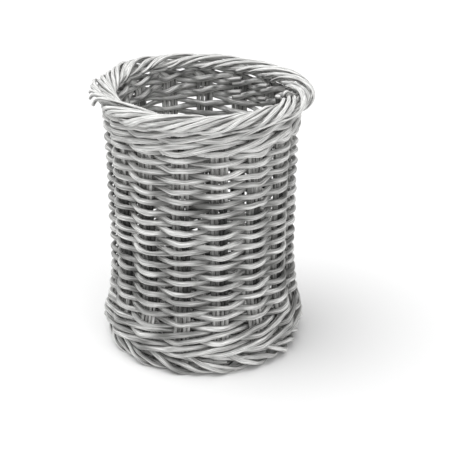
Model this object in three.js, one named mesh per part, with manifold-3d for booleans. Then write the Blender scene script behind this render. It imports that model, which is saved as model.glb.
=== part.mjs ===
// A small round cutlery basket woven from round rattan rods.
// Fifteen stakes stand in a ring, two rods to a stake with two side rods pushed in beside them.
// Their ends are laid down as a rolled border at the rim and another at the foot.
// Millimetres, +Z up. The origin is at the middle of the foot, on the ground.

import {
  BoxGeometry,
  BufferAttribute,
  BufferGeometry,
  Curve,
  EllipseCurve,
  ExtrudeGeometry,
  Group,
  MathUtils,
  Mesh,
  MeshStandardMaterial,
  Shape,
  Vector2,
  Vector3,
} from "three";
import { mergeVertices } from "three/addons/utils/BufferGeometryUtils.js";
import Module from "manifold-3d";

const wasm = await Module();
wasm.setup();

// Overall size
const HEIGHT = 159;
const RIM_DIAMETER = 130;
const WAIST_DIAMETER = 109.4;
const FOOT_DIAMETER = 118;
const FOOT_FLARE = 1; // how far the stakes lean out above the foot border
const WAIST_TOP = 100; // height up to which the wall stands upright
const WAIST_BOTTOM = 40;

// Stakes. An odd number makes the siding alternate, and a multiple of three closes the wales.
const STAKE_COUNT = 15;
const FIRST_STAKE = MathUtils.degToRad(18);

// Rod diameters and the play left between neighbouring rods
const STAKE_ROD = 2.4;
const BORDER_ROD = 2.9;
const WEAVER_ROD = 2.9;
const WALE_ROD = 3.4;
const BASE_ROD = 2.6;
const BASE_WEAVER_ROD = 2.9;
const PLAY = 0.3;
const WALE_PLAY = 0.4; // room between a wale rod and the stakes

// Rolled borders: half width and half height of the ring that the rods run round
const RIM_ROLL = [6.7, 3.6];
const FOOT_ROLL = [5.6, 4.6];
const ROLL_PITCHES = 5; // stake pitches that a stroke takes to run once round the roll
const STEPS_PER_PITCH = 2;
const STROKE_STEPS = 9;
const RIM_START = 0.62; // where a stroke leaves its stake, in turns from the outermost point
const FOOT_START = 0.145;
const FOOT_WEAR = 0.3; // depth worn flat under the foot

// Weave
const FOOT_WALE_ROUNDS = 2;
const RIM_WALE_ROUNDS = 2;
const WALE_RODS = 3;
const SIDING_RODS = 5;

// Base
const CROSS_ENDS = [[0, 11], [1, 10], [2, 9], [3, 8]]; // stakes that the upper sticks point at
const UNDER_ENDS = [[4, 14], [5, 13], [6], [7, 12]]; // stakes that the lower sticks point at
const CROSS_DIRECTION = 1.75; // direction of the upper sticks, in stake pitches past the first stake
const OPENED_RADIUS = 14; // where the sticks are spread evenly
const BASE_WEAVE_START = 19;

// Worked out from the sizes above
const UP = new Vector3(0, 0, 1);
const PITCH = (2 * Math.PI) / STAKE_COUNT;
const PAIR_OFFSET = STAKE_ROD + PLAY / 2; // from the middle of a stake to the middle of each pair
const BUNDLE = 2 * (2 * STAKE_ROD + PLAY / 2) + PLAY;
const SIDING_OFFSET = STAKE_ROD / 2 + PLAY + WEAVER_ROD / 2;
const WALE_OFFSET = STAKE_ROD / 2 + WALE_PLAY + WALE_ROD / 2;
const WALE_SPREAD = WALE_ROD / 2 + PLAY; // half the height between the two rods in front
const WALE_ROUND = 2 * WALE_SPREAD + WALE_ROD + PLAY;

const rimRoll = new EllipseCurve(0, 0, RIM_ROLL[0], RIM_ROLL[1]);
const footRoll = new EllipseCurve(0, 0, FOOT_ROLL[0], FOOT_ROLL[1]);
const RIM_CENTRE = new Vector2(
  RIM_DIAMETER / 2 - RIM_ROLL[0] - BORDER_ROD / 2,
  HEIGHT - RIM_ROLL[1] - BORDER_ROD / 2,
);
const FOOT_CENTRE = new Vector2(
  FOOT_DIAMETER / 2 - FOOT_ROLL[0] - BORDER_ROD / 2,
  FOOT_ROLL[1] + BORDER_ROD / 2 - FOOT_WEAR,
);
const RIM_KNEE = rimRoll.getPointAt(RIM_START).add(RIM_CENTRE);
const FOOT_KNEE = footRoll.getPointAt(FOOT_START).add(FOOT_CENTRE);

const FOOT_BORDER_TOP = FOOT_CENTRE.y + FOOT_ROLL[1] + BORDER_ROD / 2;
const RIM_BORDER_BOTTOM = RIM_CENTRE.y - RIM_ROLL[1] - BORDER_ROD / 2;
const FOOT_WALE_TOP = FOOT_BORDER_TOP + FOOT_WALE_ROUNDS * WALE_ROUND;
const RIM_WALE_BOTTOM = RIM_BORDER_BOTTOM - RIM_WALE_ROUNDS * WALE_ROUND;
const SIDING_BOTTOM = FOOT_WALE_TOP + PLAY + WEAVER_ROD / 2;
const SIDING_RISE = RIM_WALE_BOTTOM - PLAY - WEAVER_ROD / 2 - SIDING_BOTTOM;
const SIDING_TURNS = Math.floor(SIDING_RISE / (WEAVER_ROD + PLAY));

// The line through the middle of the stakes in section: radius and height from foot to rim
const WAIST_RADIUS = WAIST_DIAMETER / 2 - WEAVER_ROD / 2 - SIDING_OFFSET;
const WALL = [
  FOOT_KNEE,
  new Vector2(FOOT_KNEE.x + FOOT_FLARE, FOOT_BORDER_TOP + WALE_ROUND / 2),
  new Vector2(MathUtils.lerp(FOOT_KNEE.x, WAIST_RADIUS, 0.5), FOOT_WALE_TOP),
  new Vector2(WAIST_RADIUS, WAIST_BOTTOM),
  new Vector2(WAIST_RADIUS, WAIST_TOP),
  RIM_KNEE,
];

const BASE_OFFSET = BASE_ROD / 2 + PLAY + BASE_WEAVER_ROD / 2;
const BASE_HEIGHT = FOOT_BORDER_TOP + PLAY + BASE_WEAVER_ROD / 2 + BASE_OFFSET;
const BASE_RADIUS = wallRadius(BASE_HEIGHT) - WALE_OFFSET - WALE_ROD / 2 - PLAY;
const BASE_WEAVE_ROOM = BASE_RADIUS - BASE_WEAVER_ROD / 2 - BASE_WEAVE_START;
const BASE_TURNS = Math.floor(BASE_WEAVE_ROOM / (BASE_WEAVER_ROD + 3 * PLAY));

function stakeAngle(index) {
  return FIRST_STAKE + index * PITCH;
}

// A point or direction: out from the axis, along the wall and up, at an angle round the basket
function around(angle, out, along, height) {
  return new Vector3(out, along, height).applyAxisAngle(UP, angle);
}

function wallRadius(height) {
  const above = WALL.findIndex((point, index) => index > 0 && height < point.y);
  const upper = above < 0 ? WALL.length - 1 : above;
  const low = WALL[upper - 1];
  const high = WALL[upper];
  return MathUtils.mapLinear(height, low.y, high.y, low.x, high.x);
}

// The wall's line from one height to another, with its corners between them
function wallBetween(low, high) {
  return [new Vector2(wallRadius(low), low), ...WALL.slice(1, -1), new Vector2(wallRadius(high), high)];
}

// Straight stretches through given points, with the way that the section faces at each of them
class RodPath extends Curve {
  constructor(points, facings) {
    super();
    this.points = points;
    this.facings = facings;
  }

  getPoint(t, target = new Vector3()) {
    const stretches = this.points.length - 1;
    const index = Math.min(Math.floor(t * stretches), stretches - 1);
    return target.lerpVectors(this.points[index], this.points[index + 1], t * stretches - index);
  }

  // Steps fall on the given points, not at even distances
  getUtoTmapping(u) {
    return u;
  }

  computeFrenetFrames() {
    const directions = this.points.slice(1).map((point, index) => {
      return point.clone().sub(this.points[index]).normalize();
    });
    const tangents = this.points.map((point, index) => {
      const before = directions[Math.max(index - 1, 0)];
      const after = directions[Math.min(index, directions.length - 1)];
      return before.clone().add(after).normalize();
    });
    const normals = this.facings.map((facing, index) => {
      return facing.clone().projectOnPlane(tangents[index]).normalize();
    });
    const binormals = tangents.map((tangent, index) => tangent.clone().cross(normals[index]));
    return { tangents, normals, binormals };
  }
}

function outline(points) {
  return new Shape(points.map(([x, y]) => new Vector2(x, y)));
}

// One stick of the base, with its edges turned out, in, up and down
function stickOutline(diameter) {
  const half = diameter / 2;
  return outline([[half, 0], [0, half], [-half, 0], [0, -half]]);
}

// One woven rod, ridged outwards and flat where it lies on the stakes
function wovenOutline(diameter) {
  const half = diameter / 2;
  return outline([[half, 0], [-half, half], [-half, -half]]);
}

// Two rods side by side, with the groove between them on both faces
function stakeOutline(diameter) {
  const half = diameter / 2;
  const groove = half * 0.35;
  const side = half * 1.7;
  return outline([[half, side], [groove, 0], [half, -side], [-half, -side], [-groove, 0], [-half, side]]);
}

// Two rods side by side in a border, ridged outwards and flat where they lie on the roll
function strokeOutline(diameter) {
  const half = diameter / 2;
  const groove = half * 0.35;
  const flat = half * 0.5;
  const side = half * 1.8;
  return outline([[half, half], [groove, 0], [half, -half], [-flat, -side], [-flat, side]]);
}

function rod(points, facings, section) {
  const extrudePath = new RodPath(points, facings);
  return new ExtrudeGeometry(section, { steps: points.length - 1, bevelEnabled: false, extrudePath });
}

function toSolid(geometry) {
  const bare = geometry.clone();
  bare.deleteAttribute("normal");
  bare.deleteAttribute("uv");
  const merged = mergeVertices(bare, 1e-4);
  const vertProperties = new Float32Array(merged.attributes.position.array);
  const triVerts = new Uint32Array(merged.index.array);
  return new wasm.Manifold(new wasm.Mesh({ numProp: 3, vertProperties, triVerts }));
}

function toGeometry(solid) {
  const mesh = solid.getMesh();
  const geometry = new BufferGeometry();
  geometry.setAttribute("position", new BufferAttribute(new Float32Array(mesh.vertProperties), 3));
  geometry.setIndex(new BufferAttribute(new Uint32Array(mesh.triVerts), 1));
  geometry.computeVertexNormals();
  return geometry;
}

// Upright part of a stake or of its side rods, standing `along` from the middle of the stake
function upright(index, along, wall) {
  const angle = stakeAngle(index);
  const points = wall.map((point) => around(angle, point.x, along, point.y));
  const facings = wall.map(() => around(angle, 1, 0, 0));
  return rod(points, facings, stakeOutline(STAKE_ROD));
}

// One stroke of a rolled border. It runs round the roll as it travels round the basket.
function borderStroke(index, roll, centre, start, lay) {
  const first = stakeAngle(index) + PAIR_OFFSET / wallRadius(centre.y);
  const steps = [...Array(STROKE_STEPS + 1).keys()];
  const points = [];
  const facings = [];
  steps.forEach((step) => {
    const pitches = step / STEPS_PER_PITCH;
    const turn = MathUtils.euclideanModulo(start + (lay * pitches) / ROLL_PITCHES, 1);
    const angle = first + pitches * PITCH;
    const place = roll.getPointAt(turn).add(centre);
    const tangent = roll.getTangentAt(turn);
    points.push(around(angle, place.x, 0, place.y));
    facings.push(around(angle, tangent.y, 0, -tangent.x));
  });
  return rod(points, facings, strokeOutline(BORDER_ROD));
}

const ground = toSolid(new BoxGeometry(2 * RIM_DIAMETER, 2 * RIM_DIAMETER, HEIGHT).translate(0, 0, -HEIGHT / 2));

// A stake from border to border: the upright, the rim stroke and the foot stroke in one
function stake(index) {
  const solid = toSolid(upright(index, PAIR_OFFSET, WALL))
    .add(toSolid(borderStroke(index, rimRoll, RIM_CENTRE, RIM_START, 1)))
    .add(toSolid(borderStroke(index, footRoll, FOOT_CENTRE, FOOT_START, -1)))
    .subtract(ground);
  return toGeometry(solid);
}

// Two side rods pushed in beside a stake, cut off under the rim and above the foot border
function sideStake(index) {
  return upright(index, -PAIR_OFFSET, wallBetween(FOOT_BORDER_TOP + PLAY, RIM_BORDER_BOTTOM - PLAY));
}

// A woven rod through places given as [stake, along, offset from the wall, height]
function wovenRod(places, diameter) {
  const points = [];
  const facings = [];
  places.forEach(([stakeIndex, along, offset, height]) => {
    const angle = stakeAngle(stakeIndex);
    points.push(around(angle, wallRadius(height) + offset, along, height));
    facings.push(around(angle, 1, 0, 0));
  });
  return rod(points, facings, wovenOutline(diameter));
}

// One rod of the siding: behind one stake, in front of the next, climbing one row a round
function sidingRod(first, last) {
  const places = [];
  for (let index = first; index <= last; index++) {
    const offset = index % 2 ? SIDING_OFFSET : -SIDING_OFFSET;
    const from = index === first ? PLAY / 2 : -BUNDLE / 2;
    const to = index === last ? -PLAY / 2 : BUNDLE / 2;
    for (const along of [from, to]) {
      const rounds = (index + along / (WAIST_RADIUS * PITCH)) / STAKE_COUNT;
      const height = SIDING_BOTTOM + (SIDING_RISE * rounds) / SIDING_TURNS;
      places.push([index, along, offset, height]);
    }
  }
  return wovenRod(places, WEAVER_ROD);
}

// One rod of a three-rod wale: low in front of a stake, high in front of the next, then behind one
function waleRod(first, middle) {
  const places = [];
  const halfway = -WALE_SPREAD / Math.sqrt(3);
  for (let step = 0; step <= STAKE_COUNT; step++) {
    const index = first + step;
    const phase = step % WALE_RODS;
    const from = step === 0 ? PLAY / 2 : -BUNDLE / 2;
    const to = step === STAKE_COUNT ? -PLAY / 2 : BUNDLE / 2;
    const offset = phase === 0 ? -WALE_OFFSET : WALE_OFFSET;
    const height = middle + [0, -WALE_SPREAD, WALE_SPREAD][phase];
    places.push([index, from, offset, height], [index, to, offset, height]);
    if (phase === 0 && step < STAKE_COUNT) places.push([index + 0.5, 0, halfway, middle - WALE_SPREAD]);
    if (phase === 2) places.push([index + 0.5, 0, halfway, middle + WALE_SPREAD]);
  }
  return wovenRod(places, WALE_ROD);
}

// A base stick: one tip, straight across the middle beside its neighbours, the other tip
function baseStick(ends, order, direction, level) {
  const beside = (order - (CROSS_ENDS.length - 1) / 2) * (BASE_ROD + PLAY);
  const reach = (CROSS_ENDS.length / 2 + 0.5) * (BASE_ROD + PLAY);
  const height = BASE_HEIGHT + level * (BASE_ROD + PLAY) / 2;
  const halves = [1, -1].map((way, side) => {
    const crossing = around(direction, way * reach, beside, height);
    if (side >= ends.length) return [crossing];
    const angle = stakeAngle(ends[side]);
    const opened = around(angle, OPENED_RADIUS, 0, BASE_HEIGHT);
    return [crossing, opened, around(angle, BASE_RADIUS, 0, BASE_HEIGHT)];
  });
  const points = [...halves[0].reverse(), ...halves[1]];
  return rod(points, points.map(() => UP), stickOutline(BASE_ROD));
}

// The base weaver: over one stick and under the next, spiralling out
function baseWeaver() {
  const points = [];
  const facings = [];
  for (let index = 0; index <= BASE_TURNS * STAKE_COUNT; index++) {
    const radius = BASE_WEAVE_START + (BASE_WEAVE_ROOM * index) / (BASE_TURNS * STAKE_COUNT);
    const height = BASE_HEIGHT + (index % 2 ? -BASE_OFFSET : BASE_OFFSET);
    points.push(around(stakeAngle(index), radius, 0, height));
    facings.push(around(stakeAngle(index), 1, 0, 0));
  }
  return rod(points, facings, wovenOutline(BASE_WEAVER_ROD));
}

// Grey-washed rattan. The washed skin is paler on the woven rods than on the stakes.
const basket = new Group();

function place(name, geometry, color) {
  const mesh = new Mesh(geometry, new MeshStandardMaterial({ color, roughness: 0.75, metalness: 0 }));
  mesh.name = name;
  basket.add(mesh);
}

const twoDigits = (index) => String(index + 1).padStart(2, "0");

for (let index = 0; index < STAKE_COUNT; index++) {
  place(`stake_${twoDigits(index)}`, stake(index), 0xb0b0ae);
  place(`side_stake_${twoDigits(index)}`, sideStake(index), 0x8c8c8a);
}

const crossings = SIDING_TURNS * STAKE_COUNT;
const rodSpan = 2 * (Math.round(crossings / SIDING_RODS / 2) + 1);
for (let order = 0; order < SIDING_RODS; order++) {
  const first = order * rodSpan;
  const last = Math.min(first + rodSpan, crossings);
  place(`siding_weaver_${order + 1}`, sidingRod(first, last), 0xb8b8b6);
}

const waleMiddles = [];
for (let round = 0; round < FOOT_WALE_ROUNDS; round++) {
  waleMiddles.push([`foot_wale_${round + 1}`, FOOT_BORDER_TOP + PLAY / 2 + (round + 0.5) * WALE_ROUND]);
}
for (let round = 0; round < RIM_WALE_ROUNDS; round++) {
  waleMiddles.push([`rim_wale_${round + 1}`, RIM_BORDER_BOTTOM - PLAY / 2 - (round + 0.5) * WALE_ROUND]);
}
for (const [name, middle] of waleMiddles) {
  for (let order = 0; order < WALE_RODS; order++) {
    place(`${name}_rod_${order + 1}`, waleRod(order, middle), 0xbcbcba);
  }
}

const crossAngle = stakeAngle(CROSS_DIRECTION);
CROSS_ENDS.forEach((ends, order) => {
  place(`base_upper_stick_${order + 1}`, baseStick(ends, order, crossAngle, 1), 0xa6a6a4);
});
UNDER_ENDS.forEach((ends, order) => {
  place(`base_lower_stick_${order + 1}`, baseStick(ends, order, crossAngle + Math.PI / 2, -1), 0xa6a6a4);
});
place("base_weaver", baseWeaver(), 0xb0b0ae);

export default basket;
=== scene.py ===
"""A small round cutlery basket woven from grey-washed rattan, standing on a white studio floor.

Every rod of the basket is a round rod swept along its own path: the stakes with the two rolled
borders that their ends are laid down in, the side stakes, the siding, the wales and the base.
Sizes are in metres where nothing else is said.
"""

import math
import random
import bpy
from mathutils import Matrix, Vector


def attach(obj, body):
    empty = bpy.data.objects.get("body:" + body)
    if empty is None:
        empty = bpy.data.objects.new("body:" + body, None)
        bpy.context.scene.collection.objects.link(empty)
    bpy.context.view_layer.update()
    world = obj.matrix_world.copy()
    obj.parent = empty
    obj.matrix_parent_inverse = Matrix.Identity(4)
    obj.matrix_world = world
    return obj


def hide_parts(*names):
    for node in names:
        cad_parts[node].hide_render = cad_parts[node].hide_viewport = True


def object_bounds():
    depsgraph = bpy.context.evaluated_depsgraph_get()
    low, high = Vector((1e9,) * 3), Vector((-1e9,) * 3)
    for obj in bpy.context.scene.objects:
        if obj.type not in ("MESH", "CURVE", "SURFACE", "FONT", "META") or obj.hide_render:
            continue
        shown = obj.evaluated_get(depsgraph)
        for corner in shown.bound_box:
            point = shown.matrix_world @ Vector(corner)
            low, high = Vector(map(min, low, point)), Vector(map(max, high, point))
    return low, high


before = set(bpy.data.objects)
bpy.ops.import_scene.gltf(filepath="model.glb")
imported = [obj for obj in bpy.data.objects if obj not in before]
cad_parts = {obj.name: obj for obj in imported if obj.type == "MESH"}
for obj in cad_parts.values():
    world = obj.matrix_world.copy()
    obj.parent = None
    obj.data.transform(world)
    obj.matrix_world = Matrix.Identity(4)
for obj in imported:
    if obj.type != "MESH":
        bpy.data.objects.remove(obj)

from types import SimpleNamespace

import bpy
import numpy as np
from mathutils import Vector, noise

bl_info = {
    "name": "Woven cutlery basket",
    "version": (1, 0, 0),
    "blender": (4, 5, 0),
    "location": "View3D > Sidebar > Basket",
    "description": "Makes a small round basket of grey-washed rattan rods",
    "category": "Add Mesh",
}

CAD_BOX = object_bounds()
PHOTO_WIDTH = 460  # pixels, square

STAKES = 15
FIRST_STAKE = math.radians(18)
PITCH = math.tau / STAKES
WALE_RODS = 3
FOOT_WALE_ROUNDS = 2
RIM_WALE_ROUNDS = 2
SIDING_LENGTHS = 5
TIPS_AT = 7  # stake beside which thin tips stand out of the rim
ENDS_AT = 13  # stake beside which two rod ends stand inside the rim

# The stakes that the ends of each base stick lead to. One lower stick is a half stick.
UPPER_STICKS = ((0, 11), (1, 10), (2, 9), (3, 8))
LOWER_STICKS = ((4, 14), (5, 13), (6,), (7, 12))
STICKS_TOWARDS = 1.75  # stake number that the upper sticks would point to

# How a border rod runs round its roll: the turn that it has reached at each pitch past its
# stake. Turn 0 is the outermost point of the roll, 0.25 the top and 0.5 the innermost point.
RIM_START = 0.62
FOOT_START = 0.145
RIM_KNOTS = ((0.0, RIM_START), (0.35, 0.83), (3.0, 1.62), (3.3, 1.7))
FOOT_KNOTS = ((0.0, FOOT_START), (0.2, 0.14), (2.4, -0.7), (2.7, -0.78))
STROKE = SimpleNamespace(
    early=0.1,  # pitches by which a stroke may set out early or late
    short=0.2,  # pitches by which it may end early
    lane=0.48,  # rods between it and the middle of its stake's two strokes
    aside=0.0004,  # how far it may lie aside of its even place
    low=-0.0009,  # the lowest that it may lie on the roll
    high=0.0002,  # the highest
    lower=0.0018,  # how much lower it lies for each pitch that it sets out later
    arch=0.0005,  # how far it arches half-way
    tuck=0.0024,  # how deep its end is tucked into the roll
    tuck_points=4,  # points over which the end goes down
    tail_points=6,  # points past the last pitch
    first_point=2,  # points left out where the upright bends over
    pitch_points=6,  # points in a pitch
)

SECOND_FOOT_STROKE = 0.44  # pitches by which a stake's second foot stroke sets out later
SIDE_STROKE = 0.5  # the same for a side rod's stroke at the rim

# The upright part of a stake, and the least and most thickness of its parts as a share
UPRIGHT_POINTS = 15
ABOVE_FOOT_KNEE = 0.0045  # where the upright starts
BELOW_RIM_KNEE = 0.005  # where it ends
FOOT_STROKE_THICK = (1.08, 1.22)
UPRIGHT_THICK = (0.94, 1.06)
RIM_STROKE_THICK = (0.96, 1.04)
RIM_STROKE_BUTT = 1.08  # where a rim stroke starts
RIM_STROKE_TAPER = 0.22  # what it has lost at its tip

# Where the basket is out of shape: a bearing in degrees, with 270 on the photograph's side,
# and how sharply the change falls off to both sides
RIM_DENT = (196, 6)
RIM_LIFT = (142, 4)
RIM_DROP = (50, 3)
FOOT_BULGE = (295, 3)
DROP_SHARE = 0.3  # how far the rim drops opposite, against its lift
LEVEL_BELOW = 0.085  # height up to which the weave is level
LIFT_OVER = 0.06  # height over which it gets out of level

# The woven rods
SLACK_UP = 0.7  # share of the slack that moves a crossing up or down
SLACK_OUT = 0.5  # share that moves it in or out
SIDING_FLAT = 0.85  # share of a bundle's width on which a siding rod lies flat
SIDING_BULGE = 0.0007  # how far a siding rod stands off in the middle of a bundle
SIDING_PRESSED = 0.0003  # how far it is pressed in at a bundle's two sides
FIRST_ROW_SUNK = 1 / 8  # rods by which the first row sinks between the wale's rods
ROW_SAG = 0.0012  # how far a row rises or sags on its way
SAG_ROUND = 1.3  # waves of that sag in a radian
SAG_UP = 45  # waves of it in a metre of height
SAG_SLICE = 2.0  # picks the pattern
WALE_FLAT = 0.5  # share of a bundle's width on which a wale rod lies flat
WALE_SWING = 1.3  # how far a wale rod swings up and down, against the wale's spread
RIM_WALE_THICK = 1.1
END_LAP = 0.0012  # how far a wale rod's two ends lie above and below one another
STICK_CROSSING = 2.5  # half the length on which a base stick lies straight, in sticks
BASE_ROW_ROOM = 3  # plays between two rows of the base weaver

# How pale a point of a rod is, from 0 to 1: partly wash rubbed pale, partly painted light and
# shade, palest on the lit rim strokes and darkest on the shaded foot strokes and uprights
RUBBED_AND_LIT_PALENESS = SimpleNamespace(
    rim_stroke=0.95,
    foot_stroke=0.2,
    upright=0.15,
    bent_end=1.0,
    cut_end=0.7,
    siding_front=0.88,
    siding_behind=0.72,
    siding_between=0.4,
    rim_wale=0.75,
    foot_wale=0.4,
    wale_behind=0.65,
    stick=0.3,
    base_crossing=0.4,
    base_between=0.3,
)

# The share of the wash on each group of rods, the darkness of its grain and the painted shade in
# its gaps
FINISHES = {
    # The palest rods, painted lighter because the strokes lie out in the light, with the darkest
    # painted shade in their gaps
    "stakes and borders": (0.46, 0.55, 1.0),
    # Greyer, as painted shade because they stand behind the siding, and with bolder grain
    "side rods": (0.14, 0.65, 0.45),
    # Pale on the bulges of the weave alone
    "siding": (0.06, 0.6, 0.45),
    # Pale with painted shade in the hollows, between the borders and the siding
    "wales": (0.3, 0.6, 0.85),
    # The greyest
    "base": (0.05, 0.65, 0.45),
}

FLOOR_SIZE = 6
FLOOR_GLOW = 0.04  # light on the paper that the camera alone sees, so that it ends in white
ROOM_LIGHT = 0.33  # the white studio's light on the basket, 1 being white
# Each lamp's name, the way that it shines, its spread in degrees and its strength
SOFTBOXES = (
    ("key_softbox", (0.32, 0.06, -1), 58, 2.45),
    ("fill_softbox", (-0.75, 1.0, -0.8), 70, 0.95),
)
SENSOR_WIDTH = 36  # millimetres
NEAREST_SEEN = 0.01


def length(name, description, default):
    return bpy.props.FloatProperty(
        name=name, description=description, default=default, unit="LENGTH", precision=5
    )


class BasketSizes(bpy.types.PropertyGroup):
    """The real sizes of the basket and its rods"""

    height: length("Height", "From the ground to the top of the rim", float(CAD_BOX[1][2]))
    rim: length("Rim", "Diameter over the rolled rim", 0.130)
    waist: length("Waist", "Diameter over the siding at the waist", 0.111)
    foot: length("Foot", "Diameter over the rolled foot", 0.118)
    flare: length("Foot flare", "How far the stakes lean out above the foot", 0.001)
    waist_low: length("Waist from", "Height from which the wall stands upright", 0.040)
    waist_high: length("Waist to", "Height up to which the wall stands upright", 0.100)
    stake_rod: length("Stake rod", "Diameter of the rods in the stakes", 0.0024)
    border_rod: length("Border rod", "Diameter of the rods in the borders", 0.0029)
    stroke_rod: length("Stroke rod", "Diameter of the rods in a border, as they have dried", 0.0026)
    siding_rod: length("Siding rod", "Diameter of the rods in the siding", 0.0029)
    wale_rod: length("Wale rod", "Diameter of the rods in the wales", 0.0034)
    base_rod: length("Base rod", "Diameter of the base sticks", 0.0026)
    base_weaver: length("Base weaver", "Diameter of the rod woven into the base", 0.0029)
    play: length("Play", "Room between neighbouring rods", 0.0003)
    rim_roll_width: length("Rim roll width", "Half width of the rim's roll", 0.0067)
    rim_roll_height: length("Rim roll height", "Half height of the rim's roll", 0.0036)
    foot_roll_width: length("Foot roll width", "Half width of the foot's roll", 0.0056)
    foot_roll_height: length("Foot roll height", "Half height of the foot's roll", 0.0046)
    foot_wear: length("Foot wear", "Depth worn flat under the foot", 0.0003)
    opened: length("Base opened at", "Radius where the base sticks are spread", 0.014)
    base_start: length("Base weave from", "Radius where the base weaving starts", 0.019)


class HandWork(bpy.types.PropertyGroup):
    """How far the rods stray from the even pattern, as hand-woven ones do"""

    seed: bpy.props.IntProperty(name="Seed", description="Picks another basket", default=7)
    sides: bpy.props.IntProperty(name="Sides", description="Faces round a rod", default=8)
    step: length("Step", "Length of one stretch along a rod", 0.0014)
    thickness: bpy.props.FloatProperty(
        name="Thickness",
        description="Change of thickness along a rod",
        default=0.17,
        subtype="FACTOR",
    )
    wobble: length("Wobble", "How far a rod wanders on its way", 0.0005)
    slack: length("Slack", "How far a crossing sits from its even place", 0.00045)
    fullness: bpy.props.FloatProperty(
        name="Fullness",
        description="Thickness of a siding rod against the room it is given",
        default=1.1,
        subtype="FACTOR",
    )
    lean: length("Lean", "How far the whole wall is out of true", 0.0016)
    dent: length("Dent", "How far the rim is pressed in at the left", 0.0038)
    lift: length("Lift", "How far the rim rises at the back left", 0.0024)
    bulge: length("Bulge", "How far the foot stands out at the front right", 0.0032)


class RattanColours(bpy.types.PropertyGroup):
    """Colours of the washed rattan and the floor, as sRGB hex values"""

    wash: bpy.props.StringProperty(name="Wash", description="Pale wash", default="F8F8F6")
    skin: bpy.props.StringProperty(name="Skin", description="Grey skin", default="747472")
    grain_and_shade: bpy.props.StringProperty(name="Grain", description="Dark grain", default="454544")
    # The grain colour is also laid on as painted shade in the gaps between rods
    floor: bpy.props.StringProperty(name="Floor", description="Studio floor", default="F0F0F0")


class StudioView(bpy.types.PropertyGroup):
    """Where the camera stands and how it looks at the basket"""

    distance: length("Distance", "From the basket's axis to the camera, along the ground", 0.715)
    rise: length("Rise", "Height of the camera above the ground", 0.387)
    bearing: bpy.props.FloatProperty(
        name="Bearing",
        description="Where the camera stands round the basket",
        default=math.radians(271.5),
        subtype="ANGLE",
    )
    pitch: bpy.props.FloatProperty(
        name="Pitch",
        description="How far the camera looks down",
        default=math.radians(24.11),
        subtype="ANGLE",
    )
    turn: bpy.props.FloatProperty(
        name="Turn",
        description="How far the camera looks right of the axis",
        default=math.radians(1.3),
        subtype="ANGLE",
    )
    focal: bpy.props.FloatProperty(
        name="Focal length",
        description="In pixels of the photograph",
        default=1300.0,
        subtype="PIXEL",
    )


def linear(colour):
    """An sRGB hex colour as the linear RGBA that a shader takes."""
    channels = [int(colour[i : i + 2], 16) / 255 for i in (0, 2, 4)]
    return [c / 12.92 if c <= 0.04045 else ((c + 0.055) / 1.055) ** 2.4 for c in channels] + [1]


def add(tree, kind, inputs=None, **settings):
    """A node with its settings, each input either linked to a socket or set to a value."""
    node = tree.nodes.new(kind)
    for key, value in settings.items():
        setattr(node, key, value)
    for key, value in (inputs or {}).items():
        socket = node.inputs[key]
        if isinstance(value, bpy.types.NodeSocket):
            tree.links.new(value, socket)
        else:
            socket.default_value = value
    return node


# The basket's layout, worked out from its sizes


def around(angle, out, along, height):
    """A point out from the axis, along the wall and up, at an angle round the basket."""
    return Vector(
        (
            out * math.cos(angle) - along * math.sin(angle),
            out * math.sin(angle) + along * math.cos(angle),
            height,
        )
    )


def stake_angle(index):
    return FIRST_STAKE + index * PITCH


class Roll:
    """The ring that a border's rods run round, in section: an ellipse measured along its edge."""

    POINTS = 721  # on the edge, one each half degree

    def __init__(self, centre, half_width, half_height):
        self.centre = centre
        self.flatness = half_width / half_height
        turns = np.linspace(0, math.tau, self.POINTS)
        self.x = half_width * np.cos(turns)
        self.y = half_height * np.sin(turns)
        gone = np.concatenate([[0], np.cumsum(np.hypot(np.diff(self.x), np.diff(self.y)))])
        self.edge = float(gone[-1])
        self.share = gone / gone[-1]

    def place(self, turn, raised=0.0):
        """Radius and height at a share of the way round, from the outermost point upwards."""
        x = float(np.interp(turn % 1, self.share, self.x))
        y = float(np.interp(turn % 1, self.share, self.y))
        out, up = x, y * self.flatness**2
        far = math.hypot(out, up)
        return self.centre[0] + x + raised * out / far, self.centre[1] + y + raised * up / far


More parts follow.
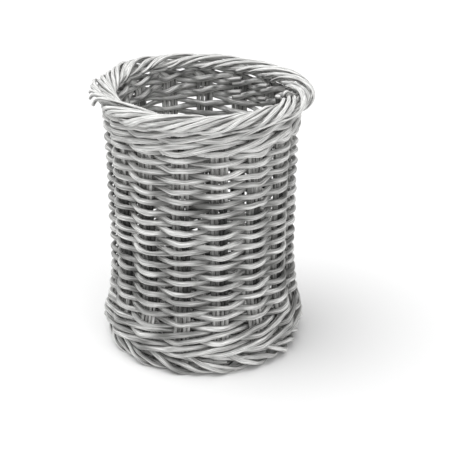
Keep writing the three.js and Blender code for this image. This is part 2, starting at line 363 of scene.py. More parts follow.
def lay_out(sizes):
    """Everything that follows from the sizes, as one set of named values."""
    half_border = sizes.border_rod / 2
    rim = Roll(
        (
            sizes.rim / 2 - sizes.rim_roll_width - half_border,
            sizes.height - sizes.rim_roll_height - half_border,
        ),
        sizes.rim_roll_width,
        sizes.rim_roll_height,
    )
    foot = Roll(
        (
            sizes.foot / 2 - sizes.foot_roll_width - half_border,
            sizes.foot_roll_height + half_border - sizes.foot_wear,
        ),
        sizes.foot_roll_width,
        sizes.foot_roll_height,
    )
    spread = sizes.wale_rod / 2 + sizes.play
    wale_round = 2 * spread + sizes.wale_rod + sizes.play
    foot_top = foot.centre[1] + sizes.foot_roll_height + half_border
    rim_bottom = rim.centre[1] - sizes.rim_roll_height - half_border
    wale_top = foot_top + FOOT_WALE_ROUNDS * wale_round
    wale_bottom = rim_bottom - RIM_WALE_ROUNDS * wale_round
    row = sizes.siding_rod + sizes.play / 2
    siding_bottom = wale_top - sizes.siding_rod * FIRST_ROW_SUNK
    siding_offset = sizes.stake_rod / 2 + sizes.play + sizes.siding_rod / 2
    waist = sizes.waist / 2 - sizes.siding_rod / 2 - siding_offset
    foot_knee, rim_knee = foot.place(FOOT_START), rim.place(RIM_START)
    base_offset = sizes.base_rod / 2 + sizes.play + sizes.base_weaver / 2
    return SimpleNamespace(
        rim=rim,
        foot=foot,
        rim_inside=rim.centre[0] - sizes.rim_roll_width,
        rim_width=2 * sizes.rim_roll_width,
        wall=[
            foot_knee,
            (foot_knee[0] + sizes.flare, foot_top + wale_round / 2),
            ((foot_knee[0] + waist) / 2, wale_top),
            (waist, sizes.waist_low),
            (waist, sizes.waist_high),
            rim_knee,
        ],
        waist=waist,
        spread=spread,
        wale_round=wale_round,
        wale_offset=sizes.stake_rod / 2 + sizes.play + sizes.wale_rod / 2,
        foot_top=foot_top,
        rim_bottom=rim_bottom,
        siding_bottom=siding_bottom,
        siding_rise=wale_bottom + row - siding_bottom,
        siding_offset=siding_offset,
        siding_turns=math.floor((wale_bottom - wale_top) / row) + 1,
        pair=sizes.stake_rod + sizes.play / 2,
        bundle=4 * sizes.stake_rod + 2 * sizes.play,
        base_offset=base_offset,
        base_height=foot_top + sizes.play + sizes.base_weaver / 2 + base_offset,
    )


def laid_out():
    """The layout and the sizes as the scene's properties give them now."""
    sizes = bpy.context.scene.basket_sizes
    return lay_out(sizes), sizes


def wall_radius(plan, height):
    """Radius of the middle of the stakes, on a smooth line through the wall's corners."""
    radii, heights = zip(*plan.wall)
    slopes = np.gradient(radii, heights)
    index = min(max(int(np.searchsorted(heights, height)) - 1, 0), len(heights) - 2)
    span = heights[index + 1] - heights[index]
    t = (height - heights[index]) / span
    return (
        (2 * t**3 - 3 * t**2 + 1) * radii[index]
        + (t**3 - 2 * t**2 + t) * span * slopes[index]
        + (3 * t**2 - 2 * t**3) * radii[index + 1]
        + (t**3 - t**2) * span * slopes[index + 1]
    )


def base_tip(plan, sizes):
    """How far out the base reaches, up to the rods of the foot wale."""
    return wall_radius(plan, plan.base_height) - plan.wale_offset - sizes.wale_rod / 2 - sizes.play


def facing(plan, sizes, point):
    """The way out of the weave at a point: up from the base, out from the wall, round a roll."""
    level = Vector((point.x, point.y, 0))
    out = level.length
    if out < base_tip(plan, sizes) + sizes.play:
        return Vector((0, 0, 1))
    level.normalize()
    if plan.foot_top <= point.z <= plan.rim_bottom:
        return level
    roll = plan.rim if point.z > plan.rim_bottom else plan.foot
    up = (point.z - roll.centre[1]) * roll.flatness**2
    return (level * (out - roll.centre[0]) + Vector((0, 0, up))).normalized()


# Rods: a path with its thickness and how pale it is at each point, from rubbing and painted light
# and shade


class Rod:
    """A rod's path, with a tone of its own from 0 to 1."""

    def __init__(self, tone):
        self.tone = tone
        self.points = []
        self.radii = []
        self.worn = []

    def go(self, point, radius, worn):
        self.points.append(point)
        self.radii.append(radius)
        self.worn.append(worn)


def rods_mesh(name, rods):
    """The rods' paths as loose edges.

    Each point has its radius, its rod's tone, how pale it is from rubbing and painted light and
    shade, and its way out of the weave.
    """
    mesh = bpy.data.meshes.new(name)
    points = [point for rod in rods for point in rod.points]
    edges, first = [], 0
    for rod in rods:
        edges += [(first + i, first + i + 1) for i in range(len(rod.points) - 1)]
        first += len(rod.points)
    mesh.from_pydata(points, edges, [])
    values = {
        "thick": [radius for rod in rods for radius in rod.radii],
        "tone": [rod.tone for rod in rods for _ in rod.points],
        "worn": [worn for rod in rods for worn in rod.worn],
    }
    for key, numbers in values.items():
        mesh.attributes.new(key, "FLOAT", "POINT").data.foreach_set("value", numbers)
    plan, sizes = laid_out()
    ways = [part for point in points for part in facing(plan, sizes, point)]
    mesh.attributes.new("face", "FLOAT_VECTOR", "POINT").data.foreach_set("vector", ways)
    return mesh


def rod_inputs():
    """What the round rods take from the hand work, under the names of the tree's inputs."""
    hand = bpy.context.scene.basket_hand_work
    return {
        "Step": hand.step,
        "Sides": hand.sides,
        "Thickness change": hand.thickness,
        "Wobble": hand.wobble,
        "Lean": hand.lean,
        "Seed": float(hand.seed),
    }


def round_rods_tree():
    """Geometry nodes that turn paths into round rods, each a little uneven and out of true."""
    free_from = 0.03  # height from which a rod strays up and down in full
    wobble_size, lean_size, swell_size = 0.022, 0.075, 0.012
    lean_seed = 3.0  # one for all, because the whole wall leans
    seeds = 97.0  # spreads the rods' tones, 0 to 1, over the noise
    tone_shift = 3.0  # how far apart the rods lie in the grain's pattern

    tree = bpy.data.node_groups.new("Round rods", "GeometryNodeTree")
    tree.interface.new_socket("Paths", in_out="INPUT", socket_type="NodeSocketGeometry")
    for name, value in rod_inputs().items():
        kind = "NodeSocketInt" if isinstance(value, int) else "NodeSocketFloat"
        tree.interface.new_socket(name, in_out="INPUT", socket_type=kind).default_value = value
    tree.interface.new_socket("Material", in_out="INPUT", socket_type="NodeSocketMaterial")
    tree.interface.new_socket("Rods", in_out="OUTPUT", socket_type="NodeSocketGeometry")

    given = add(tree, "NodeGroupInput").outputs
    tone = add(tree, "GeometryNodeInputNamedAttribute", {"Name": "tone"}).outputs[0]
    thick = add(tree, "GeometryNodeInputNamedAttribute", {"Name": "thick"}).outputs[0]
    place = add(tree, "GeometryNodeInputPosition").outputs[0]
    place = add(tree, "ShaderNodeSeparateXYZ", {0: place}).outputs

    curves = add(tree, "GeometryNodeMeshToCurve", {"Mesh": given["Paths"]}).outputs[0]
    smooth = add(tree, "GeometryNodeCurveSplineType", {"Curve": curves}, spline_type="CATMULL_ROM")
    inputs = {"Curve": smooth.outputs[0], "Length": given["Step"]}
    even = add(tree, "GeometryNodeResampleCurve", inputs, mode="LENGTH")

    # Points stray by a noise, each way by as much. Near the ground they only stray sideways.
    free = add(tree, "ShaderNodeMapRange", {"Value": place["Z"], "From Max": free_from}).outputs[0]
    level = add(tree, "ShaderNodeCombineXYZ", {"X": 1.0, "Y": 1.0, "Z": free}).outputs[0]
    own_seed = add(tree, "ShaderNodeMath", {0: tone, 1: seeds}, operation="MULTIPLY").outputs[0]
    rod_seed = add(tree, "ShaderNodeMath", {0: own_seed, 1: given["Seed"]}, operation="ADD")
    rod_seed = rod_seed.outputs[0]
    path = even.outputs[0]
    for size, detail, amount, seed in (
        (wobble_size, 1.0, given["Wobble"], rod_seed),
        (lean_size, 0.0, given["Lean"], lean_seed),
    ):
        inputs = {"W": seed, "Scale": 1 / size, "Detail": detail}
        stray = add(tree, "ShaderNodeTexNoise", inputs, noise_dimensions="4D").outputs["Color"]
        for inputs, operation in (
            ({1: (0.5, 0.5, 0.5)}, "SUBTRACT"),
            ({1: level}, "MULTIPLY"),
            ({"Scale": amount}, "SCALE"),
            ({"Scale": 2.0}, "SCALE"),
        ):
            inputs = {0: stray, **inputs}
            stray = add(tree, "ShaderNodeVectorMath", inputs, operation=operation).outputs[0]
        path = add(tree, "GeometryNodeSetPosition", {"Geometry": path, "Offset": stray}).outputs[0]

    gone = add(tree, "GeometryNodeSplineParameter").outputs["Length"]
    inputs = {"Geometry": path, "Name": "gone", "Value": gone}
    path = add(tree, "GeometryNodeStoreNamedAttribute", inputs).outputs[0]
    inputs = {"W": rod_seed, "Scale": 1 / swell_size, "Detail": 1.0}
    swell = add(tree, "ShaderNodeTexNoise", inputs, noise_dimensions="4D").outputs["Fac"]
    inputs = {"Value": swell, "From Min": 0.3, "From Max": 0.7, "To Min": -1.0, "To Max": 1.0}
    change = add(tree, "ShaderNodeMapRange", inputs, clamp=False).outputs[0]
    inputs = {0: change, 1: given["Thickness change"], 2: 1.0}
    scaled = add(tree, "ShaderNodeMath", inputs, operation="MULTIPLY_ADD").outputs[0]
    radius = add(tree, "ShaderNodeMath", {0: thick, 1: scaled}, operation="MULTIPLY").outputs[0]

    inputs = {"Resolution": given["Sides"], "Radius": 1.0}
    ring = add(tree, "GeometryNodeCurvePrimitiveCircle", inputs).outputs[0]
    turned = add(tree, "GeometryNodeSplineParameter").outputs["Factor"]
    inputs = {"Geometry": ring, "Name": "turned", "Value": turned}
    ring = add(tree, "GeometryNodeStoreNamedAttribute", inputs).outputs[0]
    swept = add(
        tree,
        "GeometryNodeCurveToMesh",
        {"Curve": path, "Profile Curve": ring, "Scale": radius, "Fill Caps": True},
    ).outputs[0]

    # The rods under the foot are worn flat on the ground
    above = add(tree, "ShaderNodeMath", {0: place["Z"], 1: 0.0}, operation="MAXIMUM").outputs[0]
    flat = add(tree, "ShaderNodeCombineXYZ", {"X": place["X"], "Y": place["Y"], "Z": above})
    inputs = {"Geometry": swept, "Position": flat.outputs[0]}
    swept = add(tree, "GeometryNodeSetPosition", inputs).outputs[0]

    # Where a point lies on its rod: round it in x and y, along it in z
    turned = add(tree, "GeometryNodeInputNamedAttribute", {"Name": "turned"}).outputs[0]
    gone = add(tree, "GeometryNodeInputNamedAttribute", {"Name": "gone"}).outputs[0]
    angle = add(tree, "ShaderNodeMath", {0: turned, 1: math.tau}, operation="MULTIPLY").outputs[0]
    cosine = add(tree, "ShaderNodeMath", {0: angle}, operation="COSINE").outputs[0]
    sine = add(tree, "ShaderNodeMath", {0: angle}, operation="SINE").outputs[0]
    x = add(tree, "ShaderNodeMath", {0: cosine, 1: thick}, operation="MULTIPLY").outputs[0]
    y = add(tree, "ShaderNodeMath", {0: sine, 1: thick}, operation="MULTIPLY").outputs[0]
    z = add(tree, "ShaderNodeMath", {0: tone, 1: tone_shift, 2: gone}, operation="MULTIPLY_ADD")
    on_rod = add(tree, "ShaderNodeCombineXYZ", {"X": x, "Y": y, "Z": z.outputs[0]}).outputs[0]
    inputs = {"Geometry": swept, "Name": "on_rod", "Value": on_rod}
    swept = add(
        tree, "GeometryNodeStoreNamedAttribute", inputs, data_type="FLOAT_VECTOR"
    ).outputs[0]

    # How far a point looks out of the weave, rather than at the next rod, which the material uses
    # to paint shade in the gaps
    normal = add(tree, "GeometryNodeInputNormal").outputs[0]
    face = add(
        tree, "GeometryNodeInputNamedAttribute", {"Name": "face"}, data_type="FLOAT_VECTOR"
    ).outputs[0]
    across = add(tree, "ShaderNodeVectorMath", {0: normal, 1: face}, operation="DOT_PRODUCT")
    across = across.outputs["Value"]
    open_side = add(tree, "ShaderNodeMath", {0: across}, operation="ABSOLUTE").outputs[0]
    inputs = {"Geometry": swept, "Name": "open", "Value": open_side}
    swept = add(tree, "GeometryNodeStoreNamedAttribute", inputs).outputs[0]

    shaded = add(tree, "GeometryNodeSetShadeSmooth", {"Geometry": swept}).outputs[0]
    real = add(tree, "GeometryNodeRealizeInstances", {"Geometry": shaded}).outputs[0]
    coated = add(
        tree, "GeometryNodeSetMaterial", {"Geometry": real, "Material": given["Material"]}
    )
    add(tree, "NodeGroupOutput", {"Rods": coated.outputs[0]})
    return tree


def make_rods(node, rods, material):
    """Sweeps the rods and lets them stand for one CAD node."""
    tree = bpy.data.node_groups.get("Round rods") or round_rods_tree()
    sockets = {
        item.name: item.identifier for item in tree.interface.items_tree if item.in_out == "INPUT"
    }
    piece = bpy.data.objects.new(node + "_rods", rods_mesh(node, rods))
    bpy.context.scene.collection.objects.link(piece)
    sweep = piece.modifiers.new("Round rods", "NODES")
    sweep.node_group = tree
    for name, value in {**rod_inputs(), "Material": material}.items():
        sweep[sockets[name]] = value
    graph = bpy.context.evaluated_depsgraph_get()
    mesh = bpy.data.meshes.new_from_object(piece.evaluated_get(graph), depsgraph=graph)
    piece.modifiers.remove(sweep)
    piece.data = mesh
    if not mesh.polygons:
        raise RuntimeError(f"{node} came out empty")
    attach(piece, "root")
    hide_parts(node)


def chance(*key):
    """A source of seeded random numbers for one piece."""
    return random.Random(f"{bpy.context.scene.basket_hand_work.seed} {key}")


# Paths


def bump(angle, middle, sharpness):
    """A smooth rise round the basket: 1 at a bearing in degrees, 0 past a quarter turn from it."""
    return max(0.0, math.cos(angle - math.radians(middle))) ** sharpness


def lifted(angle, height=math.inf):
    """How far the weave is out of level: all of it at the rim, nothing from half-way down."""
    share = min(max((height - LEVEL_BELOW) / LIFT_OVER, 0), 1)
    tilt = bump(angle, *RIM_LIFT) - DROP_SHARE * bump(angle, *RIM_DROP)
    return bpy.context.scene.basket_hand_work.lift * share * tilt


def stroke_places(plan, roll, knots, index, lane, delay, rod, luck):
    """Points of one border rod, its end tucked into the roll.

    The knots give its turn round the roll at each pitch past its stake. The delay is how many
    pitches after the stake it sets out.
    """
    hand = bpy.context.scene.basket_hand_work
    angle = stake_angle(index) + plan.pair / wall_radius(plan, roll.centre[1])
    pitches, turns = zip(*knots)
    begin = delay + luck.uniform(-STROKE.early, STROKE.early)
    aside = lane * STROKE.lane * rod + luck.uniform(-1, 1) * STROKE.aside
    height_on_roll = luck.uniform(STROKE.low, STROKE.high) - delay * STROKE.lower
    last = pitches[-1] + begin - luck.uniform(0.0, STROKE.short)
    places = []
    count = round(last * STROKE.pitch_points)
    for step in range(STROKE.first_point, count + STROKE.tail_points + 1):
        gone = last * step / count
        turn = np.interp(gone - begin * min(gone, 1), pitches, turns) + aside / roll.edge
        tucked = min(max(step - count, 0) / STROKE.tuck_points, 1) * STROKE.tuck
        arched = STROKE.arch * math.sin(math.pi * min(gone / last, 1))
        out, height = roll.place(turn, height_on_roll + arched - tucked)
        here = angle + gone * PITCH
        if roll is plan.rim:
            outside = (out - plan.rim_inside) / plan.rim_width
            out -= hand.dent * bump(here, *RIM_DENT) * outside
            height += lifted(here)
        else:
            out += hand.bulge * bump(here, *FOOT_BULGE)
        places.append(around(here, out, 0, height))
    return places


def bundle_rod(plan, sizes, luck, index, lane, side, rim_delay=None, foot_delay=None):
    """One rod of a bundle: its foot stroke if any, the upright, and its rim stroke if any.

    The delays are how many pitches after the stake a stroke sets out. Without one there is no
    stroke.
    """
    rod = Rod(luck.random())
    thick = sizes.stroke_rod
    low, high = plan.wall[0][1] + ABOVE_FOOT_KNEE, plan.wall[-1][1] - BELOW_RIM_KNEE
    if foot_delay is not None:
        foot = stroke_places(plan, plan.foot, FOOT_KNOTS, index, 0, foot_delay, thick, luck)
        for place in reversed(foot):
            rod.go(place, thick / 2 * luck.uniform(*FOOT_STROKE_THICK), RUBBED_AND_LIT_PALENESS.foot_stroke)
    along = side * plan.pair + lane * sizes.stake_rod / 2
    for step in range(UPRIGHT_POINTS):
        height = low + (high - low) * step / (UPRIGHT_POINTS - 1)
        place = around(stake_angle(index), wall_radius(plan, height), along, height)
        rod.go(place, sizes.stake_rod / 2 * luck.uniform(*UPRIGHT_THICK), RUBBED_AND_LIT_PALENESS.upright)
    if rim_delay is not None:
        rim = stroke_places(plan, plan.rim, RIM_KNOTS, index, lane, rim_delay, thick, luck)
        for step, place in enumerate(rim):
            taper = RIM_STROKE_BUTT - RIM_STROKE_TAPER * step / len(rim)
            rod.go(place, thick / 2 * taper * luck.uniform(*RIM_STROKE_THICK), RUBBED_AND_LIT_PALENESS.rim_stroke)
    return rod


def stake_rods(plan, sizes, index):
    """The two rods of a stake, and at two stakes the ends left standing out of the rim."""
    rods = [
        bundle_rod(plan, sizes, chance("stake", index, lane), index, lane, 1, 0.0, foot_delay)
        for lane, foot_delay in ((-1, 0.0), (1, SECOND_FOOT_STROKE))
    ]
    if index == TIPS_AT:
        rods += loose_tips(sizes)
    if index == ENDS_AT:
        rods += loose_ends(sizes)
    return rods


def loose_tips(sizes):
    """Five thin rod ends fanned out past the rim, their rods lying over its top."""
    luck = chance("tips")
    rods = []
    for order in range(5):
        rod = Rod(luck.random())
        # The tips lie 8 degrees apart, their rods 2.5 degrees apart where they cross the rim
        tip = math.radians(168 + 8 * order)
        over = math.radians(204 + 2.5 * order)
        # Each point's bearing, how far out and how high it is, and its share of the thickness
        for angle, out, height, share in (
            (tip, 0.0643, 0.1570 - 0.0008 * order, 0.84),
            (0.7 * tip + 0.3 * over, 0.0622, 0.1585, 0.95),
            (over, 0.0588 - 0.0004 * order, 0.1592, 1.0),
            (over + 0.25, 0.0560 - 0.0005 * order, 0.1590, 1.0),
            (over + 0.5, 0.0525, 0.1570, 1.0),
            (over + 0.65, 0.0512, 0.1545, 0.9),
        ):
            rod.go(around(angle, out, 0, height), share * sizes.stake_rod / 2, RUBBED_AND_LIT_PALENESS.rim_stroke)
        rods.append(rod)
    return rods


def loose_ends(sizes):
    """Inside the rim at the right: a rod bent up over the others and the cut end of another."""
    luck = chance("ends")
    # Each point's bearing in degrees, how far out and how high it is
    bent_end = (
        (336.4, 0.0515, 0.1490),
        (336.8, 0.0510, 0.1540),
        (337.2, 0.0510, 0.1585),
        (338.6, 0.0516, 0.1603),
        (341.5, 0.0526, 0.1590),
        (346.0, 0.0540, 0.1565),
        (352.0, 0.0555, 0.1540),
    )
    cut_end = (
        (331.0, 0.0504, 0.1470),
        (330.2, 0.0504, 0.1510),
        (329.4, 0.0504, 0.1560),
        (328.8, 0.0504, 0.1605),
    )
    rods = []
    for places, share, pale in ((bent_end, 1, RUBBED_AND_LIT_PALENESS.bent_end), (cut_end, 1.2, RUBBED_AND_LIT_PALENESS.cut_end)):
        rod = Rod(luck.random())
        for bearing, out, height in places:
            place = around(math.radians(bearing), out, 0, height)
            rod.go(place, share * sizes.stroke_rod / 2, pale)
        rods.append(rod)
    return rods


def side_rods(plan, sizes, index):
    """The two side rods of a stake. One is laid down half a pitch later, the other is cut off."""
    return [
        bundle_rod(plan, sizes, chance("side", index, lane), index, lane, -1, delay)
        for lane, delay in ((-1, None), (1, SIDE_STROKE))
    ]


def woven_place(plan, index, along, offset, height, luck, sag=0.0):
    """A point of a woven rod at a stake, as far from its even place as hands leave it."""
    slack = bpy.context.scene.basket_hand_work.slack
    height += sag + luck.uniform(-1, 1) * slack * SLACK_UP + lifted(stake_angle(index), height)
    out = wall_radius(plan, height) + offset + luck.uniform(-1, 1) * slack * SLACK_OUT
    return around(stake_angle(index), out, along, height)


def siding_rods(plan, sizes, number):
    """One length of the siding: behind one stake and in front of the next, climbing as it goes."""
    luck = chance("siding", number)
    rod = Rod(luck.random())
    radius = bpy.context.scene.basket_hand_work.fullness * sizes.siding_rod / 2
    reach = plan.bundle / 2 * SIDING_FLAT
    # Each length has an even number of crossings, so that all but the last end behind a stake
    crossings = plan.siding_turns * STAKES
    span = 2 * (round(crossings / SIDING_LENGTHS / 2) + 1)
    first = number * span
    last = min(first + span, crossings)

    def go(index, along, offset, pale):
        rounds = (index + along / (plan.waist * PITCH)) / STAKES
        height = plan.siding_bottom + plan.siding_rise * rounds / plan.siding_turns
        waves = Vector((stake_angle(index) * SAG_ROUND, height * SAG_UP, SAG_SLICE))
        sag = noise.noise(waves) * ROW_SAG
        rod.go(woven_place(plan, index, along, offset, height, luck, sag), radius, pale)

    for index in range(first, last + 1):
        side = 1 if index % 2 else -1
        pale = RUBBED_AND_LIT_PALENESS.siding_front if side > 0 else RUBBED_AND_LIT_PALENESS.siding_behind
        for along in (-reach, 0, reach):
            if (index == first and along < 0) or (index == last and along > 0):
                continue
            bulge = side * (SIDING_BULGE if along == 0 else -SIDING_PRESSED)
            go(index, along, side * plan.siding_offset + bulge, pale)
        if index < last:
            go(index + 0.5, 0, 0, RUBBED_AND_LIT_PALENESS.siding_between)
    return [rod]


def wale_rods(plan, sizes, middle, first, name):
    """One rod of a three-rod wale: in front of two stakes and behind the third."""
    luck = chance("wale", name, first)
    rod = Rod(luck.random())
    at_rim = name.startswith("rim")
    radius = (RIM_WALE_THICK if at_rim else 1.0) * sizes.wale_rod / 2
    front = RUBBED_AND_LIT_PALENESS.rim_wale if at_rim else RUBBED_AND_LIT_PALENESS.foot_wale
    reach = plan.bundle / 2 * WALE_FLAT

    def go(step, along, offset, pale, lap=0):
        phase = step % WALE_RODS + along / (plan.waist * PITCH)
        wave = math.sin(math.tau / WALE_RODS * phase)
        height = middle - WALE_SWING * plan.spread * wave + lap
        rod.go(woven_place(plan, first + step, along, offset, height, luck), radius, pale)

    for step in range(STAKES + 1):
        phase = step % WALE_RODS
        behind = phase == 0
        lap = {0: END_LAP, STAKES: -END_LAP}.get(step, 0)
        offset = -plan.wale_offset if behind else plan.wale_offset
        for along in (-reach, reach):
            go(step, along, offset, RUBBED_AND_LIT_PALENESS.wale_behind if behind else front, lap)
        if step < STAKES:
            go(step + 0.5, 0, plan.wale_offset if phase == 1 else 0, front)
    return [rod]


def base_stick_rods(plan, sizes, ends, order, direction, level):
    """One base stick: a tip, the stretch beside its neighbours in the middle, the other tip."""
    luck = chance("stick", order, level)
    rod = Rod(luck.random())
    apart = sizes.base_rod + sizes.play
    beside = (order - (len(UPPER_STICKS) - 1) / 2) * apart
    reach = STICK_CROSSING * apart
    height = plan.base_height + level * apart / 2
    tip = base_tip(plan, sizes)
    halves = []
    for side, way in enumerate((1, -1)):
        half = [around(direction, way * reach, beside, height)]
        if side < len(ends):
            angle = stake_angle(ends[side])
            outs = (sizes.opened, tip / 2, tip)
            half += [around(angle, out, 0, plan.base_height) for out in outs]
        halves.append(half)
    for point in halves[0][::-1] + halves[1]:
        rod.go(point, sizes.base_rod / 2, RUBBED_AND_LIT_PALENESS.stick)
    return [rod]


def base_weaver_rods(plan, sizes):
    """The base weaver: over one stick and under the next, spiralling out."""
    luck = chance("base")
    rod = Rod(luck.random())
    radius = sizes.base_weaver / 2
    room = base_tip(plan, sizes) - radius - sizes.base_start
    turns = math.floor(room / (sizes.base_weaver + BASE_ROW_ROOM * sizes.play))
    last = turns * STAKES
    for index in range(last + 1):
        out = sizes.base_start + room * index / last
        side = -1 if index % 2 else 1
        height = plan.base_height + side * plan.base_offset
        rod.go(around(stake_angle(index), out, 0, height), radius, RUBBED_AND_LIT_PALENESS.base_crossing)
        if index < last:
            between = around(stake_angle(index + 0.5), out, 0, plan.base_height)
            rod.go(between, radius, RUBBED_AND_LIT_PALENESS.base_between)
    return [rod]


# Materials


def empty_tree(owner):
    """The node tree of a material or of the world, with nothing in it."""
    owner.use_nodes = True
    owner.node_tree.nodes.clear()
    return owner.node_tree


def washed_rattan(group):
    """Peeled rattan, weathered grey and rubbed with a pale wash.

    The eye sees fine lines along each rod, a tone of its own on every rod, wash left in long
    streaks, paler skin where the weave is rubbed and where painted light falls, and painted shade
    on the sides where the rods lie together.
    """
    wash_share, darkness, gap_shade_strength = FINISHES[group]
    noise_low, noise_high = 0.35, 0.65  # a noise lies mostly between these
    lines_low, lines_high = 0.38, 0.62
    weather_size = 0.02
    weather_off, weather_on = 0.2, 0.15  # how far the weather lowers and raises the wash's share
    rubbed_and_lit_wash, tone_wash, streak_wash, patch_wash = 0.72, 0.3, 0.3, 0.35  # how far these do
    hidden, seen = 0.15, 0.6  # a side that looks out less gets the full painted shade, and more gets none

    colours = bpy.context.scene.basket_colours
    material = bpy.data.materials.new(f"Grey-washed rattan, {group}")
    tree = empty_tree(material)
    on_rod = add(tree, "ShaderNodeAttribute", attribute_name="on_rod").outputs["Vector"]
    tone = add(tree, "ShaderNodeAttribute", attribute_name="tone").outputs["Fac"]
    worn = add(tree, "ShaderNodeAttribute", attribute_name="worn").outputs["Fac"]
    open_side = add(tree, "ShaderNodeAttribute", attribute_name="open").outputs["Fac"]

    # Fibres 0.35 mm apart run 9 mm before they change, the wash lies in streaks 1.2 mm wide and
    # 18 mm long, and a rod changes its tone every 30 mm
    marks = {}
    for mark, across, along, detail in (
        ("fibres", 0.00035, 0.009, 3.0),
        ("streaks", 0.0012, 0.018, 2.0),
        ("patches", 0.02, 0.03, 1.0),
    ):
        scale = (1 / across, 1 / across, 1 / along)
        place = add(tree, "ShaderNodeMapping", {"Vector": on_rod, "Scale": scale}).outputs[0]
        inputs = {"Vector": place, "Scale": 1.0, "Detail": detail}
        marks[mark] = add(tree, "ShaderNodeTexNoise", inputs).outputs["Fac"]

    # The whole basket has weathered in patches about 20 mm across
    place = add(tree, "ShaderNodeTexCoord").outputs["Object"]
    inputs = {"Vector": place, "Scale": 1 / weather_size, "Detail": 2.0}
    weather = add(tree, "ShaderNodeTexNoise", inputs).outputs["Fac"]

    # The patterns change the wash's share and draw the grain's dark lines. The sides that lie
    # against the next rod get painted shade, standing in for the shade in the gaps between rods.
    shares = []
    for value, low, high, at_low, at_high in (
        (weather, noise_low, noise_high, wash_share - weather_off, wash_share + weather_on),
        (marks["streaks"], noise_low, noise_high, -streak_wash, streak_wash),
        (marks["patches"], noise_low, noise_high, -patch_wash, patch_wash),
        (marks["fibres"], lines_low, lines_high, darkness, 0.0),
        (open_side, hidden, seen, gap_shade_strength, 0.0),
    ):
        inputs = {"Value": value, "From Min": low, "From Max": high}
        inputs |= {"To Min": at_low, "To Max": at_high}
        shares.append(add(tree, "ShaderNodeMapRange", inputs).outputs[0])
    share, streaky, patchy, lines, painted_gap_shade = shares

    # worn lightens a point for its rubbed wash and for painted light, and leaves painted shade
    # where it is low
    for value, weight in ((worn, rubbed_and_lit_wash), (tone, tone_wash)):
        inputs = {0: value, 1: weight, 2: share}
        share = add(tree, "ShaderNodeMath", inputs, operation="MULTIPLY_ADD").outputs[0]
    for uneven in (streaky, patchy):
        share = add(tree, "ShaderNodeMath", {0: share, 1: uneven}, operation="ADD").outputs[0]
    colour = linear(colours.skin)
    # The grain colour draws the grain's lines and the painted shade in the gaps
    for factor, laid_on in ((share, colours.wash), (lines, colours.grain_and_shade), (painted_gap_shade, colours.grain_and_shade)):
        inputs = {"Factor": factor, "A": colour, "B": linear(laid_on)}
        colour = add(tree, "ShaderNodeMix", inputs, data_type="RGBA").outputs["Result"]

    inputs = {"Height": marks["fibres"], "Strength": 0.5, "Distance": 0.00015}
    relief = add(tree, "ShaderNodeBump", inputs).outputs[0]
    inputs = {"Base Color": colour, "Roughness": 0.62, "Specular IOR Level": 0.35, "Normal": relief}
    shader = add(tree, "ShaderNodeBsdfPrincipled", inputs)
    add(tree, "ShaderNodeOutputMaterial", {"Surface": shader.outputs[0]})
    return material


def seen_straight(tree):
    """1 for what the camera sees, straight or in a gloss, and 0 for the light on the basket."""
    path = add(tree, "ShaderNodeLightPath").outputs
    rays = {0: path["Is Camera Ray"], 1: path["Is Glossy Ray"]}
    return add(tree, "ShaderNodeMath", rays, operation="MAXIMUM").outputs[0]


def studio_floor(colour):
    """Matt white paper, which keeps the basket's soft shadow."""
    material = bpy.data.materials.new("Matt white backdrop paper")
    tree = empty_tree(material)
    inputs = {0: seen_straight(tree), 1: FLOOR_GLOW}
    bright = add(tree, "ShaderNodeMath", inputs, operation="MULTIPLY").outputs[0]
    matt = add(tree, "ShaderNodeBsdfDiffuse", {"Color": linear(colour)})
    white = add(tree, "ShaderNodeEmission", {"Color": (1, 1, 1, 1), "Strength": bright})
    paper = add(tree, "ShaderNodeAddShader", {0: matt.outputs[0], 1: white.outputs[0]})
    add(tree, "ShaderNodeOutputMaterial", {"Surface": paper.outputs[0]})
    return material


# Operators


class BASKET_OT_stakes(bpy.types.Operator):
    """Make the stakes with the rolled rim and foot that their ends are laid down in"""

    bl_idname = "basket.stakes"
    bl_label = "Stakes and borders"

    def execute(self, context):
        plan, sizes = laid_out()
        material = washed_rattan("stakes and borders")
        for index in range(STAKES):
            rods = stake_rods(plan, sizes, index)
            make_rods(f"stake_{index + 1:02d}", rods, material)
        return {"FINISHED"}


class BASKET_OT_side_stakes(bpy.types.Operator):
    """Make the side rods pushed in beside the stakes"""

    bl_idname = "basket.side_stakes"
    bl_label = "Side stakes"

    def execute(self, context):
        plan, sizes = laid_out()
        material = washed_rattan("side rods")
        for index in range(STAKES):
            rods = side_rods(plan, sizes, index)
            make_rods(f"side_stake_{index + 1:02d}", rods, material)
        return {"FINISHED"}


class BASKET_OT_siding(bpy.types.Operator):
    """Weave the siding"""

    bl_idname = "basket.siding"
    bl_label = "Siding"

    def execute(self, context):
        plan, sizes = laid_out()
        material = washed_rattan("siding")
        for number in range(SIDING_LENGTHS):
            rods = siding_rods(plan, sizes, number)
            make_rods(f"siding_weaver_{number + 1}", rods, material)
        return {"FINISHED"}


class BASKET_OT_wales(bpy.types.Operator):
    """Twine the three-rod wales above the foot and under the rim"""

    bl_idname = "basket.wales"
    bl_label = "Wales"

    def execute(self, context):
        plan, sizes = laid_out()
        material = washed_rattan("wales")
        # The foot wales stand half a play off the border, the rim wales are pushed up into it
        foot_wale, rim_wale = plan.foot_top + sizes.play / 2, plan.rim_bottom + sizes.play * 4
        middles = {
            f"foot_wale_{number + 1}": foot_wale + (number + 0.5) * plan.wale_round
            for number in range(FOOT_WALE_ROUNDS)
        }
        for number in range(RIM_WALE_ROUNDS):
            middles[f"rim_wale_{number + 1}"] = rim_wale - (number + 0.5) * plan.wale_round
        for name, middle in middles.items():
            for first in range(WALE_RODS):
                rods = wale_rods(plan, sizes, middle, first, name)
                make_rods(f"{name}_rod_{first + 1}", rods, material)
        return {"FINISHED"}


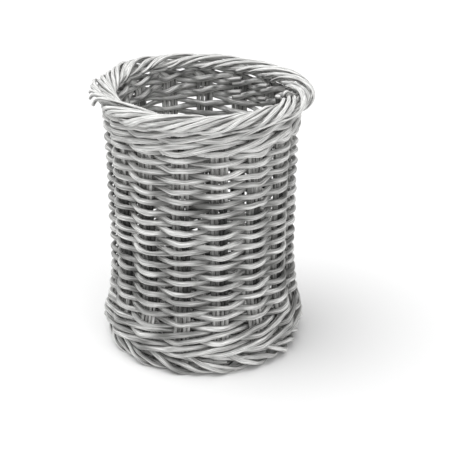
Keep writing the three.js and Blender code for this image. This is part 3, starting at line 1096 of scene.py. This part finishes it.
class BASKET_OT_base(bpy.types.Operator):
    """Make the woven base"""

    bl_idname = "basket.base"
    bl_label = "Base"

    def execute(self, context):
        plan, sizes = laid_out()
        material = washed_rattan("base")
        towards = stake_angle(STICKS_TOWARDS)
        for layer, sticks, direction, level in (
            ("upper", UPPER_STICKS, towards, 1),
            ("lower", LOWER_STICKS, towards + math.pi / 2, -1),
        ):
            for order, ends in enumerate(sticks):
                rods = base_stick_rods(plan, sizes, ends, order, direction, level)
                make_rods(f"base_{layer}_stick_{order + 1}", rods, material)
        make_rods("base_weaver", base_weaver_rods(plan, sizes), material)
        return {"FINISHED"}


class BASKET_OT_studio(bpy.types.Operator):
    """Set up the floor, the soft light and the camera"""

    bl_idname = "basket.studio"
    bl_label = "Studio"

    def execute(self, context):
        scene = context.scene
        view = scene.basket_view
        bpy.ops.mesh.primitive_plane_add(size=FLOOR_SIZE)
        floor = context.object
        floor.name = "studio_floor"
        floor.data.materials.append(studio_floor(scene.basket_colours.floor))

        for name, towards, spread, strength in SOFTBOXES:
            lamp = bpy.data.lights.new(name, "SUN")
            lamp.angle = math.radians(spread)
            lamp.energy = strength
            light = bpy.data.objects.new(name, lamp)
            light.rotation_euler = Vector(towards).to_track_quat("-Z", "Y").to_euler()
            scene.collection.objects.link(light)

        world = bpy.data.worlds.new("White studio")
        scene.world = world
        tree = empty_tree(world)
        inputs = {"Factor": seen_straight(tree), "A": ROOM_LIGHT, "B": 1.0}
        level = add(tree, "ShaderNodeMix", inputs, data_type="FLOAT").outputs["Result"]
        sky = add(tree, "ShaderNodeBackground", {"Color": (1, 1, 1, 1), "Strength": level})
        add(tree, "ShaderNodeOutputWorld", {"Surface": sky.outputs[0]})

        lens = bpy.data.cameras.new("photo_camera")
        camera = bpy.data.objects.new("photo_camera", lens)
        scene.collection.objects.link(camera)
        lens.sensor_width = SENSOR_WIDTH
        lens.lens = SENSOR_WIDTH * view.focal / PHOTO_WIDTH
        lens.clip_start = NEAREST_SEEN
        camera.location = around(view.bearing, view.distance, 0, view.rise)
        heading = view.bearing + math.pi / 2 - view.turn
        camera.rotation_euler = (math.pi / 2 - view.pitch, 0, heading)
        scene.camera = camera
        scene.view_settings.view_transform = "Standard"
        return {"FINISHED"}


class BASKET_PT_panel(bpy.types.Panel):
    """Lists the basket's settings and pieces in the sidebar"""

    bl_idname = "BASKET_PT_panel"
    bl_label = "Woven cutlery basket"
    bl_space_type = "VIEW_3D"
    bl_region_type = "UI"
    bl_category = "Basket"

    def draw(self, context):
        for group_name in GROUPS:
            group = getattr(context.scene, group_name)
            box = self.layout.box()
            for name in group.bl_rna.properties.keys():
                if name not in ("rna_type", "name"):
                    box.prop(group, name)
        for operator in OPERATORS:
            self.layout.operator(operator.bl_idname)


OPERATORS = (
    BASKET_OT_stakes,
    BASKET_OT_side_stakes,
    BASKET_OT_siding,
    BASKET_OT_wales,
    BASKET_OT_base,
    BASKET_OT_studio,
)
GROUPS = {
    "basket_sizes": BasketSizes,
    "basket_hand_work": HandWork,
    "basket_colours": RattanColours,
    "basket_view": StudioView,
}


def register():
    for kind in (*GROUPS.values(), *OPERATORS, BASKET_PT_panel):
        bpy.utils.register_class(kind)
    for name, group in GROUPS.items():
        setattr(bpy.types.Scene, name, bpy.props.PointerProperty(type=group))


def unregister():
    for name in GROUPS:
        delattr(bpy.types.Scene, name)
    for kind in (BASKET_PT_panel, *OPERATORS, *GROUPS.values()):
        bpy.utils.unregister_class(kind)


def main():
    register()
    for operator in OPERATORS:
        group, name = operator.bl_idname.split(".")
        getattr(getattr(bpy.ops, group), name)()


if __name__ == "__main__":
    main()
